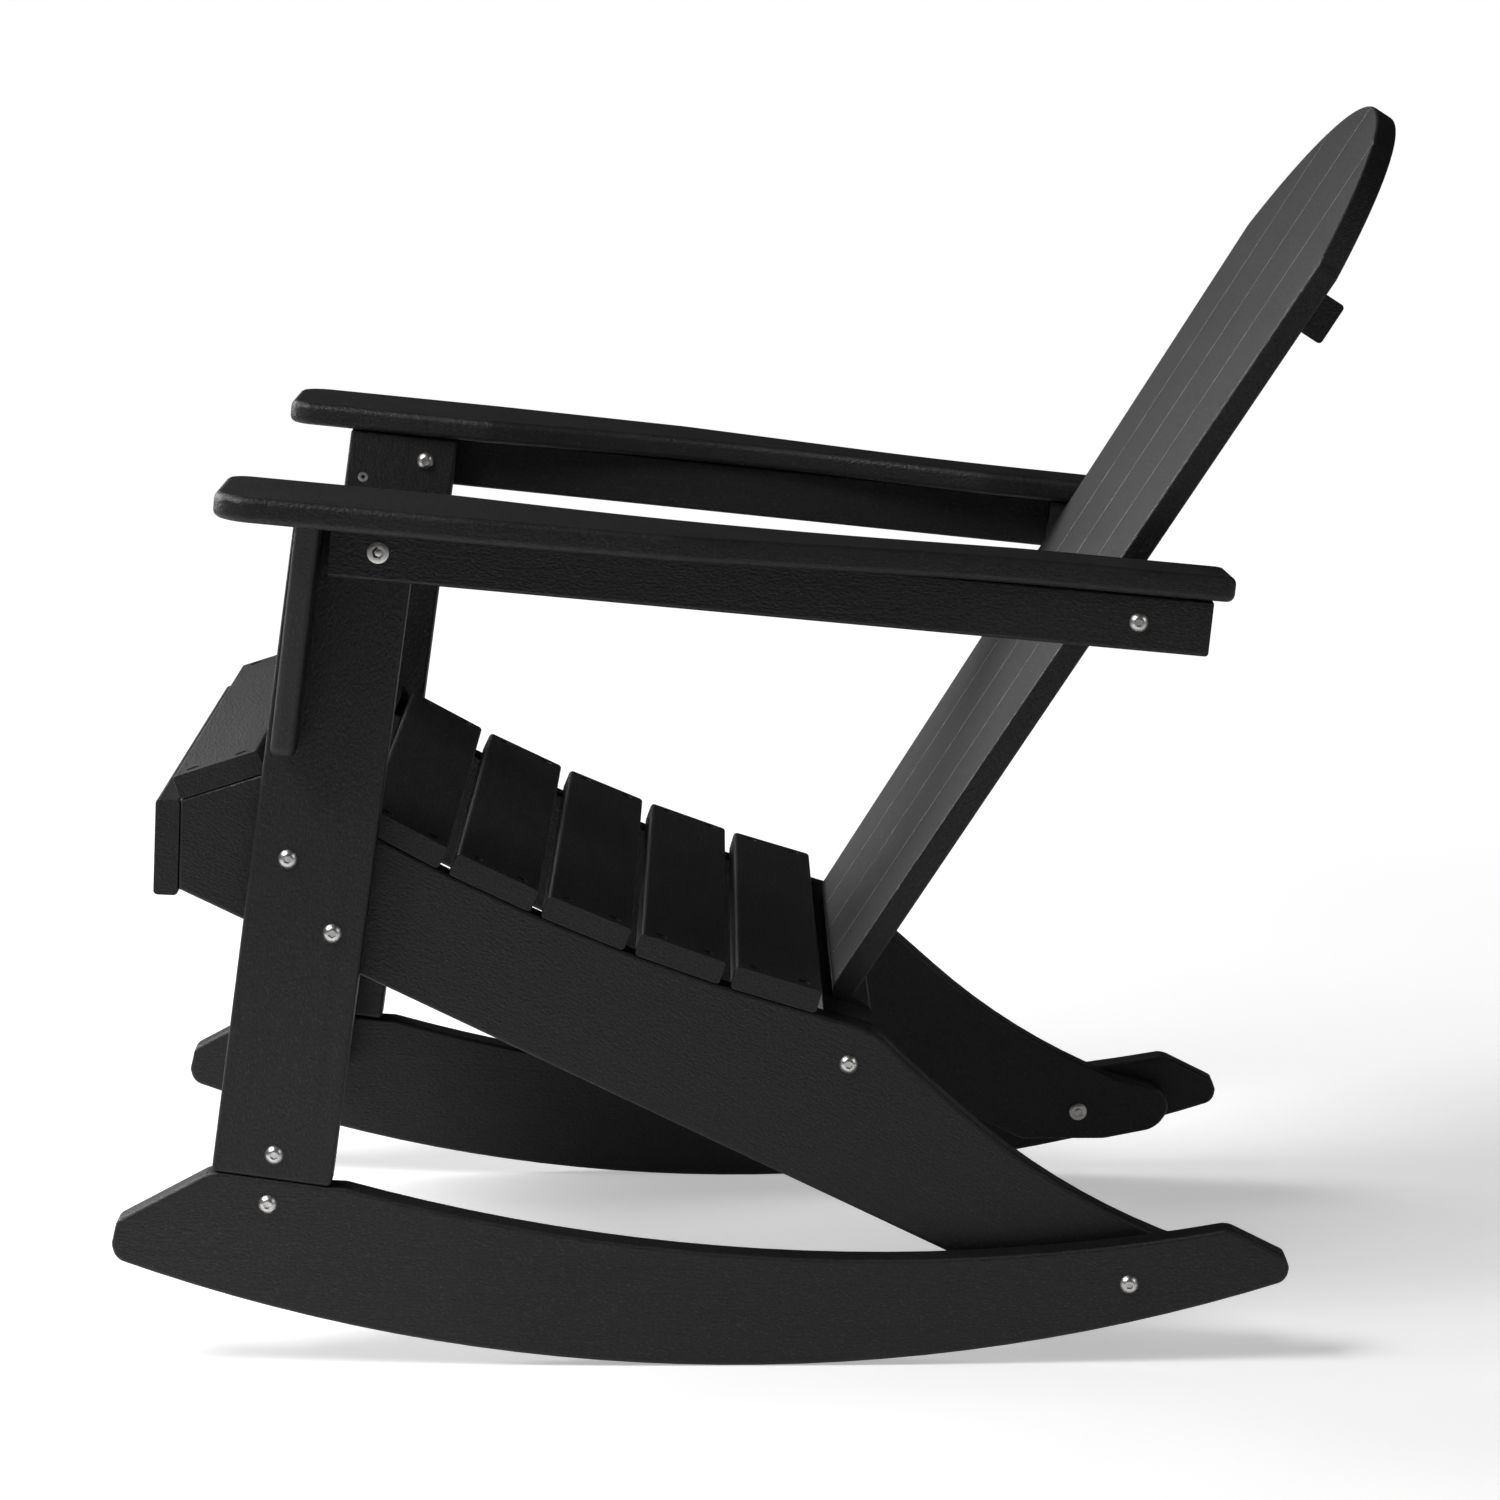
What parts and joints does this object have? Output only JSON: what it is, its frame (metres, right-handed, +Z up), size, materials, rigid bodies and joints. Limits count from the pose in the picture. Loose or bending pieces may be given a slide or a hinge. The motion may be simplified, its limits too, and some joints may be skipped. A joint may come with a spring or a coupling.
{
  "type": "rocking chair",
  "caption": "Adirondack rocking chair of flat boards: slatted contoured seat, fanned reclined back with arched top, broad sloping armrests, bolted frame on curved rockers.",
  "frame": {"origin": "middle of the floor box: on the floor, midway between the front of the rockers and the rear of the back's top, and midway between the two sides", "axes": "+Z up, +Y towards the back of the chair, so the sitter faces -Y, and +X towards the sitter's left hand"},
  "size_m": [0.755, 0.9681, 0.9184],
  "materials": {
    "boards": "fine brushed grain, satin",
    "fasteners": "stainless, lightly brushed"
  },
  "bodies": {
    "root": {"rocker_left": "boards", "rocker_right": "boards", "front_leg_left": "boards", "front_leg_right": "boards", "leg_cleat_left": "boards", "leg_cleat_right": "boards", "side_rail_left": "boards", "side_rail_right": "boards", "front_apron": "boards", "seat_slat_1": "boards", "seat_slat_2": "boards", "seat_slat_3": "boards", "seat_slat_4": "boards", "seat_slat_5": "boards", "seat_slat_6": "boards", "seat_slat_7": "boards", "lower_back_beam": "boards", "back_slat_1": "boards", "back_slat_2": "boards", "back_slat_3": "boards", "back_slat_4": "boards", "back_arm_rail": "boards", "headrest_brace": "boards", "arm_rail_left": "boards", "arm_rail_right": "boards", "arm_spacer_left": "boards", "arm_spacer_right": "boards", "arm_bracket_left": "boards", "arm_bracket_right": "boards", "armrest_left": "boards", "armrest_right": "boards", "leg_bolts": "fasteners", "cleat_bolts": "fasteners", "foot_bolts": "fasteners", "arm_bolts": "fasteners", "back_rail_bolts": "fasteners", "beam_bolts": "fasteners", "leg_nuts": "fasteners", "cleat_nuts": "fasteners", "foot_nuts": "fasteners", "arm_nuts": "fasteners", "seat_screws": "fasteners", "apron_screws": "fasteners", "back_screws": "fasteners", "back_dowels": "boards", "armrest_screws": "fasteners", "bracket_screws": "fasteners"}
  },
  "joints": []
}
